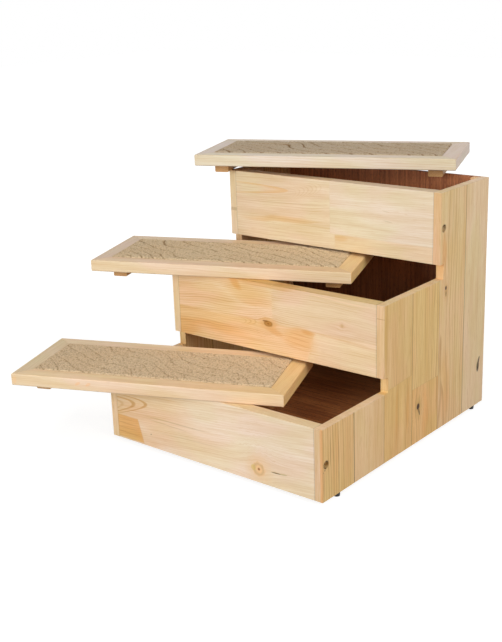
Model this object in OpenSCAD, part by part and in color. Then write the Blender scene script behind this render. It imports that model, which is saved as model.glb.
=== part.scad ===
// Pet stairs: a three-step storage box in pine, with three loose carpeted treads.
// The treads lie turned on their rims, so that the hollow under each of them is open.
// The origin is on the floor, in the middle of the whole footprint. Front is -Y.

/* [Body] */
// Width over the two side panels
body_w = 384; // [340:1:440]
// Thickness of a side panel
panel_t = 12; // [10:0.5:16]
// Distance from one step's front to the next
step_run = 145; // [130:1:165]
// Height from one rim to the next
step_rise = 126; // [112:1:140]
// Height of the lowest rim over the panels' bottom edge
first_rim = 101.5; // [90:0.5:120]
// Depth of the top step's box, from its front to the back
top_depth = 138; // [128:1:160]

/* [Boards] */
// Thickness of the front boards, called risers
riser_t = 18; // [15:0.5:20]
// Thickness of the plywood back
back_t = 6; // [4:0.5:9]
// Thickness of the plywood floor
floor_t = 5; // [4:0.5:9]
// Width of the small battens, across the box
batten_w = 9; // [8:0.5:12]
// Depth of the small battens, along the box
batten_d = 11; // [9:0.5:14]

/* [Treads] */
// Thickness of a tread's frame
tread_t = 17.5; // [16:0.5:20]
// Width of the frame's rails
rail_w = 24; // [20:0.5:28]
// Radius of the frame's outer edges
rail_round = 1.6; // [1:0.1:3]
// Width of the rebate that holds the base board
rebate_w = 8; // [5:0.5:12]
// Thickness of the base board
base_t = 9; // [6:0.5:10]
// Thickness of the carpet
carpet_t = 7; // [4:0.5:7]
// Gap round the carpet
carpet_gap = 0.4; // [0.3:0.1:1]
// How far a closed tread stands out over each side panel
side_overhang = 10; // [4:0.5:12]
// How far a closed tread stands out over its riser
front_overhang = 8.5; // [5:0.5:12]
// How far the side panels are notched for a tread's back edge
tuck_d = 9.5; // [6:0.5:12]
// Space left behind a closed tread's back edge
tuck_gap = 1; // [0.5:0.1:2]
// Space left over a tread that passes under the next riser
slot_gap = 5; // [3:0.5:8]

/* [Cleats] */
// Width of a cleat under a tread
cleat_w = 22; // [18:0.5:25]
// Height of a cleat under a tread
cleat_h = 14.5; // [10:0.5:18]
// Chamfer on a cleat's lower edges
cleat_chamfer = 1.2; // [0.5:0.1:2]
// Space between a closed tread's cleats and the walls
seat_gap = 0.8; // [0.5:0.1:1.5]
// Further space in front of the cleats
front_play = 2.7; // [0:0.1:6]

/* [Treads as they lie] */
// Turn of the bottom tread
bottom_turn = 22.3; // [20:0.1:26]
// Turn of the middle tread
middle_turn = 21.6; // [20:0.1:26]
// Turn of the top tread
top_turn = 21.6; // [20:0.1:24]

/* [Glides] */
// Diameter of a floor glide
glide_d = 10; // [8:0.5:11]
// Height of a floor glide
glide_h = 6.5; // [3:0.5:8]
// Distance of the front glides from the front
glide_front = 40; // [25:1:55]
// Distance of the rear glides from the back
glide_rear = 25; // [15:1:40]

/* [Fasteners] */
// Diameter of a riser screw's shank
screw_d = 4; // [3:0.5:5]
// Length of a riser screw
screw_l = 45; // [35:1:55]
// Diameter of a riser screw's head
screw_head_d = 7.5; // [7:0.5:9]
// Diameter of the hole that a riser screw's head is sunk in
screw_hole_d = 10; // [9:0.5:12]
// Depth of that hole, over the head
screw_hole_h = 5; // [1:0.5:6]
// Diameter of the riser dowels
dowel_d = 8; // [6:0.5:10]
// Length of the riser dowels
dowel_l = 28; // [20:1:32]
// Diameter of a cleat screw's shank
cleat_screw_d = 3.5; // [3:0.5:4]
// Diameter of a cleat screw's head
cleat_head_d = 7; // [6:0.5:8]
// Diameter of the nails in the back and the glides
nail_d = 1.6; // [1.2:0.1:2.2]
// Length of the nails in the back
nail_l = 14; // [10:0.5:15]

/* [Hidden] */
$fn = 32;
sides = ["left", "right"];
levels = ["bottom", "middle", "top"];
staves = 6;
cut_over = 1;
bore_gap = 0.05;
pilot_depth_share = 0.8;
dowel_in_panel_share = 0.7;
dowel_height_shares = [0.25, 0.75];
nail_height_shares = [0.12, 0.5, 0.88];
cleat_screw_shares = [0.2, 0.8];
head_h_share = 0.3;
cleat_head_sink = 0.6;
nail_head_d = 3.6;
nail_head_h = 0.7;
glide_taper_share = 0.86;
glide_nail_l = 11;

// Where each tread's middle lies: shares of the width and of one step's run behind its own front
tread_x_shares = [0.211, 0.185, 0.3625];
tread_y_shares = [0.221, 0.441, 0.612];
tread_turns = [bottom_turn, middle_turn, top_turn];
tread_lifts = [0, 0, cleat_h];

stave_w = step_run / 2;
top_front = 2 * step_run;
back_y = top_front + top_depth;
inner_w = body_w - 2 * panel_t;
floor_z = batten_d;
floor_top = floor_z + floor_t;
tread_l = body_w + 2 * side_overhang;
tread_d = front_overhang + step_run + tuck_d - tuck_gap;
cleat_inset = side_overhang + panel_t + seat_gap;
cleat_setback = front_overhang + riser_t + seat_gap + front_play;
cleat_l = top_depth - riser_t - back_t - batten_d - 2 * seat_gap - front_play;
cleat_screw_l = cleat_h - cleat_head_sink + base_t * pilot_depth_share;

function rim(i) = first_rim + i * step_rise;
function riser_foot(i) = i == 0 ? 0 : rim(i - 1) + tread_t + slot_gap;
function riser_mid(i) = (riser_foot(i) + rim(i)) / 2;
function turned(p, a) = [p.x * cos(a) - p.y * sin(a), p.x * sin(a) + p.y * cos(a)];

tread_centres = [for (i = [0:2]) [tread_x_shares[i] * body_w, (i + tread_y_shares[i]) * step_run]];
tread_corners = [for (i = [0:2], sx = [-1, 1], sy = [-1, 1])
    tread_centres[i] + turned([sx * tread_l / 2, sy * tread_d / 2], tread_turns[i])];
reach_x = concat([for (c = tread_corners) c.x], [0, body_w]);
reach_y = concat([for (c = tread_corners) c.y], [0, back_y]);
footprint_mid = [(min(reach_x) + max(reach_x)) / 2, (min(reach_y) + max(reach_y)) / 2];

body_nodes = ["bottom_riser", "middle_riser", "top_riser", "floor_panel", "back_panel",
    "riser_screws", "riser_dowels", "back_nails"];
stave_nodes = [for (s = sides, k = [1:staves]) str(s, "_stave_", k)];
batten_nodes = [for (s = sides, kind = ["floor", "corner"]) str(s, "_", kind, "_batten")];
glide_nodes = [for (s = sides, end = ["front", "rear"]) str(end, "_", s, "_glide")];
tread_pieces = ["base", "front_rail", "back_rail", "left_rail", "right_rail", "carpet",
    "left_cleat", "right_cleat", "cleat_screws"];
tread_nodes = [for (level = levels, piece = tread_pieces) str(level, "_tread_", piece)];

// Frames of reference

// The body's own corner, front left and at the panels' bottom edge, put in the part's frame
module on_floor() {
    translate([-footprint_mid.x, -footprint_mid.y, glide_h]) children();
}

// What is drawn for the left side, kept there or mirrored to the right side
module on_side(side) {
    if (side == "left") children();
    else translate([body_w, 0, 0]) mirror([1, 0, 0]) children();
}

// A tread's own frame: the middle of its underside, length along X and front at -Y
module on_tread(i) {
    translate([tread_centres[i].x, tread_centres[i].y, rim(i) + tread_lifts[i]])
        rotate([0, 0, tread_turns[i]]) children();
}

// An outline drawn as depth and height, made into a board of thickness t along X
module board(t) {
    rotate([90, 0, 90]) linear_extrude(t) children();
}

// Side panels

// Outline of stave k, counted from the front; the first stave of the upper steps has the tuck notch
module stave_outline(k) {
    step = floor((k - 1) / 2);
    y0 = (k - 1) * stave_w;
    y1 = k == staves ? back_y : k * stave_w;
    difference() {
        translate([y0, 0]) square([y1 - y0, rim(step)]);
        if (k % 2 == 1 && step > 0)
            translate([y0 - cut_over, rim(step - 1)])
                square([tuck_d + cut_over, riser_foot(step) - rim(step - 1)]);
    }
}

module stave(side, k) {
    color(k % 2 == 1 ? "burlywood" : "wheat") difference() {
        on_side(side) board(panel_t) stave_outline(k);
        riser_screws(bore_gap);
        riser_dowels(bore_gap);
        for (end = ["front", "rear"]) glide_at(side, end) nail_shank(glide_nail_l, bore_gap);
    }
}

// Boards between the side panels

module riser(i) {
    color("bisque") difference() {
        translate([panel_t, i * step_run, riser_foot(i)])
            cube([inner_w, riser_t, rim(i) - riser_foot(i)]);
        riser_screws(bore_gap);
        riser_dowels(bore_gap);
    }
}

module floor_panel() {
    color("saddlebrown") translate([panel_t, riser_t, floor_z])
        cube([inner_w, back_y - back_t - riser_t, floor_t]);
}

module back_panel() {
    color("sienna") difference() {
        translate([panel_t, back_y - back_t, 0]) cube([inner_w, back_t, rim(2)]);
        back_nails(bore_gap);
    }
}

// Carries the floor along the foot of a side panel
module floor_batten(side) {
    color("tan") on_side(side) translate([panel_t, riser_t, 0])
        cube([batten_w, back_y - back_t - riser_t, floor_z]);
}

// Joins the back to a side panel
module corner_batten(side) {
    color("tan") difference() {
        on_side(side) translate([panel_t, back_y - back_t - batten_d, floor_top])
            cube([batten_w, batten_d, rim(2) - floor_top]);
        back_nails(bore_gap);
    }
}

// Fasteners; grow widens one into the bore that it sits in

// Countersunk screw along +Z from its head's face
module screw(l, d, head_d, grow = 0) {
    head_h = head_d * head_h_share;
    translate([0, 0, -grow]) cylinder(h = head_h + grow, d1 = head_d + 2 * grow, d2 = d + 2 * grow);
    cylinder(h = l + grow, d = d + 2 * grow);
}

// The open hole in front of a sunk head, d wide and as deep as the head lies below the face
module head_hole(depth, d) {
    translate([0, 0, -depth - cut_over]) cylinder(h = depth + cut_over, d = d);
}

module riser_screws(grow = 0) {
    color("dimgray") for (side = sides, i = [0, 2])
        on_side(side) translate([screw_hole_h, i * step_run + riser_t / 2, riser_mid(i)])
            rotate([0, 90, 0]) {
                screw(screw_l, screw_d, screw_head_d, grow);
                if (grow > 0) head_hole(screw_hole_h, screw_hole_d);
            }
}

// The middle riser shows no screw, so blind dowels hold it
module riser_dowels(grow = 0) {
    height = rim(1) - riser_foot(1);
    color("navajowhite") for (side = sides, share = dowel_height_shares)
        on_side(side) translate([panel_t * (1 - dowel_in_panel_share) - grow,
                step_run + riser_t / 2, riser_foot(1) + height * share])
            rotate([0, 90, 0]) cylinder(h = dowel_l + 2 * grow, d = dowel_d + 2 * grow);
}

module nail_shank(l, grow = 0) {
    cylinder(h = l + grow, d = nail_d + 2 * grow);
}

module back_nails(grow = 0) {
    color("silver") for (side = sides, share = nail_height_shares)
        on_side(side) translate([panel_t + batten_w / 2, back_y, floor_top + (rim(2) - floor_top) * share])
            rotate([90, 0, 0]) {
                translate([0, 0, -cut_over * sign(grow)])
                    cylinder(h = nail_head_h + (cut_over + grow) * sign(grow), d = nail_head_d + 2 * grow);
                nail_shank(nail_l, grow);
            }
}

// The place of a glide, under the middle of a side panel's edge
module glide_at(side, end) {
    on_side(side) translate([panel_t / 2, end == "front" ? glide_front : back_y - glide_rear, 0])
        children();
}

module glide(side, end) {
    color("black") glide_at(side, end) {
        translate([0, 0, -glide_h]) cylinder(h = glide_h, d1 = glide_d * glide_taper_share, d2 = glide_d);
        nail_shank(glide_nail_l);
    }
}

// Treads, each in its own frame

// Section of a rail, outer side at x = 0, with rounded outer edges and the rebate inside below
module rail_section() {
    difference() {
        square([rail_w, tread_t]);
        translate([rail_w - rebate_w, -cut_over]) square([rebate_w + cut_over, base_t + cut_over]);
        for (top = [0, 1]) translate([0, top * tread_t]) mirror([0, top]) difference() {
            translate([-cut_over, -cut_over]) square(rail_round + cut_over);
            translate([rail_round, rail_round]) circle(rail_round);
        }
    }
}

// A rail of length l along X with its outer side on the X axis, mitred at both ends
module rail(l) {
    intersection() {
        board(l) rail_section();
        linear_extrude(tread_t)
            polygon([[0, 0], [l, 0], [l - rail_w, rail_w], [rail_w, rail_w]]);
    }
}

module tread_rail(side) {
    long = side == "front" || side == "back";
    l = long ? tread_l : tread_d;
    out = long ? tread_d / 2 : tread_l / 2;
    turn = side == "front" ? 0 : side == "right" ? 90 : side == "back" ? 180 : 270;
    color("moccasin") rotate([0, 0, turn]) translate([-l / 2, -out, 0]) rail(l);
}

module tread_base() {
    size = [tread_l - 2 * (rail_w - rebate_w), tread_d - 2 * (rail_w - rebate_w)];
    color("peru") difference() {
        translate([-size.x / 2, -size.y / 2, 0]) cube([size.x, size.y, base_t]);
        cleat_screws(bore_gap);
    }
}

module tread_carpet() {
    size = [tread_l - 2 * (rail_w + carpet_gap), tread_d - 2 * (rail_w + carpet_gap)];
    color("darkkhaki") translate([-size.x / 2, -size.y / 2, base_t]) cube([size.x, size.y, carpet_t]);
}

// The left cleat's place, its front left corner under the tread, kept or mirrored
module cleat_at(side) {
    mirror([side == "left" ? 0 : 1, 0, 0])
        translate([-tread_l / 2 + cleat_inset, -tread_d / 2 + cleat_setback, 0]) children();
}

module cleat(side) {
    color("wheat") difference() {
        cleat_at(side) rotate([90, 0, 180]) translate([-cleat_w, -cleat_h]) linear_extrude(cleat_l)
            polygon([[0, cleat_chamfer], [cleat_chamfer, 0], [cleat_w - cleat_chamfer, 0],
                [cleat_w, cleat_chamfer], [cleat_w, cleat_h], [0, cleat_h]]);
        cleat_screws(bore_gap);
    }
}

module cleat_screws(grow = 0) {
    color("silver") for (side = sides, share = cleat_screw_shares)
        cleat_at(side) translate([cleat_w / 2, cleat_l * share, cleat_head_sink - cleat_h]) {
            screw(cleat_screw_l, cleat_screw_d, cleat_head_d, grow);
            if (grow > 0) head_hole(cleat_head_sink, cleat_head_d + 2 * grow);
        }
}

module tread_piece(piece) {
    if (piece == "base") tread_base();
    if (piece == "carpet") tread_carpet();
    if (piece == "cleat_screws") cleat_screws();
    for (side = sides) if (piece == str(side, "_cleat")) cleat(side);
    for (side = ["front", "back", "left", "right"]) if (piece == str(side, "_rail")) tread_rail(side);
}

// The nodes

on_floor() {
    for (s = sides, k = [1:staves]) stave(s, k);
    for (i = [0:2]) riser(i);
    floor_panel();
    back_panel();
    riser_screws();
    riser_dowels();
    back_nails();
    for (s = sides) floor_batten(s);
    for (s = sides) corner_batten(s);
    for (s = sides, e = ["front", "rear"]) glide(s, e);
    for (i = [0:2], p = tread_pieces)
        on_tread(i) tread_piece(p);
}
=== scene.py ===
"""Pet stairs in pine: a three-step storage box with three loose carpeted treads, turned on their rims."""

import math
from collections import namedtuple

import bpy
from mathutils import Matrix, Vector, noise


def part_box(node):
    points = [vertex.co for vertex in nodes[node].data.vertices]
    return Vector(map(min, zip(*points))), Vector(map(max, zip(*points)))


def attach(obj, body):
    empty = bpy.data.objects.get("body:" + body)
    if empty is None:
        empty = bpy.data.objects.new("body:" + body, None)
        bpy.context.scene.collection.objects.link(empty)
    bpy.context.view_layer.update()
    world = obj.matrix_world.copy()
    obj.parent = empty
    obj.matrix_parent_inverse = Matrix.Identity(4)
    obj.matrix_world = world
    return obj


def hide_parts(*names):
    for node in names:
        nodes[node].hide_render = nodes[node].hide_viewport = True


MM = 0.001
LEVELS = ("bottom", "middle", "top")
SIDES = ("left", "right")

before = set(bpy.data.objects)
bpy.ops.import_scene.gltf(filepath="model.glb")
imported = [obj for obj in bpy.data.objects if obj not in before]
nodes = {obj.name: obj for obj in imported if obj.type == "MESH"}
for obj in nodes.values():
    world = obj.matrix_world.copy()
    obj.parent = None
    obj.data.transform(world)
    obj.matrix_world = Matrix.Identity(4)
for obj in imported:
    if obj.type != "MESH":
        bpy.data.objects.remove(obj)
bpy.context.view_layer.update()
bpy.ops.object.select_all(action="DESELECT")


# Places. Patterns are laid out in millimetres, from the box's front left bottom corner or a tread's middle.
# A place is that point, with its turn about the vertical.

box_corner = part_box("left_stave_1")[0]
BOX = (box_corner, 0.0)

# How a board lies: the axis along its grain, the one across its face and the one through it.
LENGTHWISE = ("X", "Z", "Y")
CROSSWISE = ("Y", "X", "Z")
UPRIGHT_SIDE = ("Z", "Y", "X")
UPRIGHT_BACK = ("Z", "X", "Y")
FLAT = ("X", "Y", "Z")


def tread_place(level):
    """The middle of a tread at its underside, and its turn about the vertical."""
    points = [v.co for v in nodes[level + "_tread_base"].data.vertices]
    front_left = min(points, key=lambda p: p.y)
    front_right = max(points, key=lambda p: p.x)
    low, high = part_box(level + "_tread_base")
    turn = math.atan2(front_right.y - front_left.y, front_right.x - front_left.x)
    return Vector(((low.x + high.x) / 2, (low.y + high.y) / 2, low.z)), turn


TREADS = {level: tread_place(level) for level in LEVELS}


def local_box(node, place):
    """A node's lowest and highest corner in millimetres, as its place counts them."""
    origin, turn = place
    back = Matrix.Rotation(-turn, 3, "Z")
    points = [back @ (v.co - origin) / MM for v in nodes[node].data.vertices]
    return (Vector([min(p[i] for p in points) for i in range(3)]),
            Vector([max(p[i] for p in points) for i in range(3)]))


def on_axes(corner, axes):
    """Three numbers or sockets, in the order of a board's axes."""
    return [corner["XYZ".index(axis)] for axis in axes]


# Camera, at the photograph's own viewpoint: turned to the left, looking down, and rolled a little

CAMERA_AT = Vector((1134.1, -1028.6, 656.9)) * MM
CAMERA_YAW = 0.6957
CAMERA_PITCH = 0.3102
CAMERA_ROLL = -0.0364
CAMERA_LENS = 61.519
CAMERA_SENSOR = 36


def make_camera():
    right = Vector((math.cos(CAMERA_YAW), math.sin(CAMERA_YAW), 0))
    ahead = Vector((-math.sin(CAMERA_YAW) * math.cos(CAMERA_PITCH),
                    math.cos(CAMERA_YAW) * math.cos(CAMERA_PITCH), -math.sin(CAMERA_PITCH)))
    up = right.cross(ahead)
    side = right * math.cos(CAMERA_ROLL) + up * math.sin(CAMERA_ROLL)
    top = up * math.cos(CAMERA_ROLL) - right * math.sin(CAMERA_ROLL)
    data = bpy.data.cameras.new("camera")
    data.sensor_width = CAMERA_SENSOR
    data.lens = CAMERA_LENS
    camera = bpy.data.objects.new("camera", data)
    bpy.context.scene.collection.objects.link(camera)
    turned = Matrix((side, top, -ahead)).transposed().to_4x4()
    camera.matrix_world = Matrix.Translation(box_corner + CAMERA_AT) @ turned
    bpy.context.scene.camera = camera


# Node trees

def srgb(red, green, blue):
    """A colour from its 0 to 255 screen values, as the shader wants it."""
    parts = [v / 255 for v in (red, green, blue)]
    return tuple(p / 12.92 if p <= 0.04045 else ((p + 0.055) / 1.055) ** 2.4 for p in parts) + (1.0,)


def grey(value):
    return (value, value, value, 1.0)


class Tree:
    """Draws a node tree: each call adds a node and gives back its output."""

    def __init__(self, tree):
        self.tree = tree
        self.count = 0

    def add(self, kind, inputs=None, out=0, **settings):
        node = self.tree.nodes.new(kind)
        node.location = (200 * (self.count % 12), -260 * (self.count // 12))
        self.count += 1
        for key, value in settings.items():
            setattr(node, key, value)
        for key, value in (inputs or {}).items():
            if isinstance(value, bpy.types.NodeSocket):
                self.tree.links.new(value, node.inputs[key])
            elif value is not None:
                node.inputs[key].default_value = value
        return node.outputs[out] if node.outputs else None

    def math(self, operation, a, b=None, c=None):
        return self.add("ShaderNodeMath", {0: a, 1: b, 2: c}, operation=operation)

    def plus(self, a, b):
        return self.math("ADD", a, b)

    def minus(self, a, b):
        return self.math("SUBTRACT", a, b)

    def times(self, a, b):
        return self.math("MULTIPLY", a, b)

    def over(self, a, b):
        return self.math("DIVIDE", a, b)

    def squares(self, a, b):
        """The sum of two squares."""
        return self.plus(self.times(a, a), self.times(b, b))

    def vector(self, operation, a, b=None):
        out = 1 if operation == "LENGTH" else 0
        return self.add("ShaderNodeVectorMath", {0: a, 1: b}, out, operation=operation)

    def split(self, vector):
        node = self.add("ShaderNodeSeparateXYZ", {0: vector}).node
        return node.outputs[0], node.outputs[1], node.outputs[2]

    def join(self, x, y, z):
        return self.add("ShaderNodeCombineXYZ", {0: x, 1: y, 2: z})

    def noise(self, vector, waves, detail=2.0, rough=0.5):
        """Noise with so many waves a millimetre along each axis."""
        scaled = self.vector("MULTIPLY", vector, waves)
        return self.add("ShaderNodeTexNoise",
                        {"Vector": scaled, "Scale": 1.0, "Detail": detail, "Roughness": rough})

    def smooth(self, value, start, end, low=0.0, high=1.0):
        return self.add("ShaderNodeMapRange", {0: value, 1: start, 2: end, 3: low, 4: high},
                        interpolation_type="SMOOTHSTEP")

    def span(self, value, start, end, low=0.0, high=1.0):
        return self.add("ShaderNodeMapRange", {0: value, 1: start, 2: end, 3: low, 4: high})

    def mix(self, share, a, b, blend="MIX"):
        return self.add("ShaderNodeMix", {0: share, 6: a, 7: b}, 2, data_type="RGBA", blend_type=blend)

    def shade(self, colour, factor):
        """The colour times a grey factor."""
        return self.mix(1.0, colour, self.join(factor, factor, factor), "MULTIPLY")

    def tinted(self, colour, tint):
        """The colour times a plain tint."""
        return self.mix(1.0, colour, (*tint, 1.0), "MULTIPLY")

    def tint_in(self, mask, colour, tint):
        """The colour, tinted where the mask says."""
        return self.mix(mask, colour, self.tinted(colour, tint))

    def toned(self, colour, share, dark, light):
        """The colour times a tint that goes from dark to light with the share."""
        return self.mix(1.0, colour, self.mix(share, (*dark, 1.0), (*light, 1.0)), "MULTIPLY")

    def bump(self, height, strength, distance):
        return self.add("ShaderNodeBump", {"Height": height, "Strength": strength, "Distance": distance})

    def use(self, group, inputs):
        """Places a node group, and gives its outputs by name."""
        return self.add("ShaderNodeGroup", inputs, node_tree=group).node.outputs


def node_group(name, inputs, outputs):
    """A shader node group, its tree, its inputs by name and a call that sets its outputs."""
    kinds = {"float": "NodeSocketFloat", "vector": "NodeSocketVector"}
    group = bpy.data.node_groups.new(name, "ShaderNodeTree")
    for label, kind in inputs.items():
        group.interface.new_socket(label, in_out="INPUT", socket_type=kinds[kind])
    for label, kind in outputs.items():
        group.interface.new_socket(label, in_out="OUTPUT", socket_type=kinds[kind])
    start = group.nodes.new("NodeGroupInput")
    end = group.nodes.new("NodeGroupOutput")

    def finish(**sockets):
        for label, socket in sockets.items():
            group.links.new(socket, end.inputs[label])
        return group

    return Tree(group), start.outputs, finish


# Waves a millimetre along, across and through a board
DRIFT_WAVES = (0.0045, 0.022, 0.022)
RIPPLE_WAVES = (0.022, 0.11, 0.11)
FIBRE_WAVES = (0.018, 0.75, 0.75)
TONE_WAVES = (0.007, 0.085, 0.085)
BLUSH_WAVES = (0.012, 0.03, 0.03)
CANAL_WAVES = (0.07, 0.9, 0.9)
KNOT_WAVES = (0.2, 0.2, 0.2)
SPOT_WAVES = (0.02, 0.05, 0.05)
ARCH_WAVES = (0.04, 0.09, 0.09)

# How far into a year's ring its late wood is darkest, and where it begins to fade
RING_DARKEST = 0.88
RING_FADES = 0.9
RIPPLE_DEPTH = 1.6
BLUSH_SHIFT = (71.0, 13.0, 5.0)
# How fast the bend of the grain fades away from a knot, and how many rings the knot itself has
KNOT_FADE = -0.16
KNOT_RINGS = 3.0
# How unevenly a spot's and an arch's outlines run, and where in its spacing the first arch starts
SPOT_WOBBLE = 1.5
ARCH_WOBBLE = 6.0
ARCH_START = 0.7
# How far the grain's pattern moves for each millimetre that a board lies further along and across
GRAIN_SHIFT = (3.7, 1.9)


def growth_rings():
    """The rings that a saw cuts open in a board, the fibres along it and its slow changes of tone."""
    t, given, finish = node_group(
        "growth rings",
        {"Board": "vector", "Pith": "vector", "Ring": "float", "Wander": "float", "Thin": "float"},
        {"Late": "float", "Fibre": "float", "Tone": "float", "Blush": "float", "Canals": "float"})
    board = given["Board"]
    drift = t.noise(board, DRIFT_WAVES, 2.0)
    ripple = t.noise(board, RIPPLE_WAVES, 1.0)
    _, y, z = t.split(t.vector("SUBTRACT", board, given["Pith"]))
    radius = t.math("SQRT", t.squares(y, z))
    moved = t.times(t.minus(drift, 0.5), given["Wander"])
    rippled = t.times(t.minus(ripple, 0.5), RIPPLE_DEPTH)
    phase = t.over(t.plus(radius, t.plus(moved, rippled)), given["Ring"])
    part = t.math("FRACT", phase)
    year = t.add("ShaderNodeTexWhiteNoise", {"W": t.math("FLOOR", phase)}, noise_dimensions="1D")
    rise = t.smooth(part, given["Thin"], RING_DARKEST)
    fall = t.smooth(part, RING_FADES, 1.0, 1.0, 0.0)
    late = t.times(t.times(rise, fall), t.span(year, 0.0, 1.0, 0.25, 1.0))
    fibre = t.noise(board, FIBRE_WAVES, 3.0, 0.7)
    tone = t.noise(board, TONE_WAVES, 2.0)
    blush = t.noise(t.vector("ADD", board, BLUSH_SHIFT), BLUSH_WAVES, 1.0)
    canals = t.noise(board, CANAL_WAVES, 0.0)
    return finish(Late=late, Fibre=fibre, Tone=tone, Blush=blush, Canals=t.smooth(canals, 0.68, 0.78))


def knot_group():
    """A knot in a board's face, with rings of its own and an eye. The grain goes round it."""
    t, given, finish = node_group(
        "knot",
        {"Board": "vector", "Centre": "vector", "Radius": "float", "Stretch": "float", "Bend": "float",
         "Heart": "float"},
        {"Board": "vector", "Disc": "float", "Halo": "float", "Swirl": "float", "Eye": "float"})
    x, y, z = t.split(given["Board"])
    away_x, away_y, _ = t.split(t.vector("SUBTRACT", given["Board"], given["Centre"]))
    wobble = t.noise(given["Board"], KNOT_WAVES, 1.0)
    narrowed = t.over(away_x, given["Stretch"])
    distance = t.times(t.math("SQRT", t.squares(narrowed, away_y)), t.span(wobble, 0.0, 1.0, 0.75, 1.25))
    share = t.over(distance, given["Radius"])
    near = t.math("EXPONENT", t.times(t.times(share, share), KNOT_FADE))
    pull = t.times(t.times(away_y, near), given["Bend"])
    swirl = t.math("PINGPONG", t.times(share, KNOT_RINGS), 1.0)
    return finish(Board=t.join(x, t.minus(y, pull), z), Disc=t.smooth(share, 0.7, 1.1, 1.0, 0.0),
                  Halo=t.smooth(share, 0.9, 2.6, 1.0, 0.0), Swirl=swirl,
                  Eye=t.smooth(share, 0.1, given["Heart"], 1.0, 0.0))


def spot_group():
    """A slanted oval in a board's face, hard for slits and resin, soft for a blush of another tone."""
    t, given, finish = node_group(
        "spot",
        {"Board": "vector", "Centre": "vector", "Long": "float", "Wide": "float", "Slant": "float",
         "Core": "float"},
        {"Mask": "float"})
    wave = t.minus(t.noise(given["Board"], SPOT_WAVES, 1.0), 0.5)
    x, y, _ = t.split(t.vector("SUBTRACT", given["Board"], given["Centre"]))
    level = t.minus(y, t.times(x, given["Slant"]))
    waved = t.plus(level, t.times(wave, t.times(given["Wide"], SPOT_WOBBLE)))
    square = t.squares(t.over(x, given["Long"]), t.over(waved, given["Wide"]))
    return finish(Mask=t.smooth(square, given["Core"], 1.0, 1.0, 0.0))


def arch_group():
    """Growth rings that a flat cut shows as arches, one inside the other, with their tips along the board."""
    t, given, finish = node_group(
        "arches",
        {"Board": "vector", "Tip": "vector", "Sharp": "float", "Spacing": "float", "Depth": "float",
         "Wide": "float", "Slant": "float"},
        {"Line": "float", "Mask": "float", "Fill": "float"})
    wobble = t.minus(t.noise(given["Board"], ARCH_WAVES, 1.0), 0.5)
    x, y, _ = t.split(t.vector("SUBTRACT", given["Board"], given["Tip"]))
    y = t.minus(y, t.times(x, given["Slant"]))
    bowed = t.over(t.times(y, y), given["Sharp"])
    inward = t.times(t.plus(t.plus(x, bowed), t.times(wobble, ARCH_WOBBLE)), -1.0)
    part = t.math("FRACT", t.plus(t.over(inward, given["Spacing"]), ARCH_START))
    line = t.times(t.smooth(part, 0.5, 0.8), t.smooth(part, 0.85, 1.0, 1.0, 0.0))
    deep = t.over(inward, given["Depth"])
    start = t.smooth(deep, -0.06, 0.04)
    across = t.smooth(t.over(t.math("ABSOLUTE", y), given["Wide"]), 0.55, 1.0, 1.0, 0.0)
    along = t.times(start, t.smooth(deep, 0.6, 1.0, 1.0, 0.0))
    filled = t.times(start, t.smooth(deep, 0.1, 1.0, 1.0, 0.0))
    return finish(Line=line, Mask=t.times(along, across), Fill=t.times(filled, across))


def block_group():
    """A length of board that was glued in from another stick: where it lies, and the fine seam round it."""
    t, given, finish = node_group(
        "glued block",
        {"Board": "vector", "Low": "vector", "High": "vector", "Slant": "float", "Soft": "float"},
        {"Mask": "float", "Seam": "float"})
    x, y, _ = t.split(given["Board"])
    low_x, low_y, _ = t.split(given["Low"])
    high_x, high_y, _ = t.split(given["High"])
    along = t.minus(x, t.times(t.minus(y, low_y), given["Slant"]))
    inside_x = t.math("MINIMUM", t.minus(along, low_x), t.minus(high_x, along))
    inside_y = t.math("MINIMUM", t.minus(y, low_y), t.minus(high_y, y))
    inside = t.math("MINIMUM", inside_x, inside_y)
    return finish(Mask=t.smooth(t.over(inside, given["Soft"]), -1.0, 1.0),
                  Seam=t.smooth(t.math("ABSOLUTE", inside), 0.1, 0.7, 1.0, 0.0))


RINGS = growth_rings()
KNOT = knot_group()
SPOT = spot_group()
ARCH = arch_group()
BLOCK = block_group()


def new_material(name):
    """An empty material, its tree, its shader and a call that connects the shader's inputs."""
    material = bpy.data.materials.new(name)
    material.use_nodes = True
    material.node_tree.nodes.clear()
    t = Tree(material.node_tree)
    shader = t.add("ShaderNodeBsdfPrincipled").node
    t.add("ShaderNodeOutputMaterial", {0: shader.outputs[0]})

    def connect(**sockets):
        for label, value in sockets.items():
            label = label.replace("_", " ")
            if isinstance(value, bpy.types.NodeSocket):
                material.node_tree.links.new(value, shader.inputs[label])
            else:
                shader.inputs[label].default_value = value
        return material

    return t, connect


def object_vector(t):
    return t.add("ShaderNodeTexCoord", out=3)


def board_vector(t, place, axes):
    """Millimetres along a board's grain, across its face and through it, from Object coordinates."""
    origin, turn = place
    local = t.add("ShaderNodeMapping",
                  {"Vector": object_vector(t), "Location": origin, "Rotation": (0, 0, turn),
                   "Scale": (MM, MM, MM)},
                  vector_type="TEXTURE")
    return t.join(*on_axes(t.split(local), axes))


def dress(node, material):
    """Gives a piece its finish."""
    slots = nodes[node].data.materials
    slots.clear()
    slots.append(material)


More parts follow.
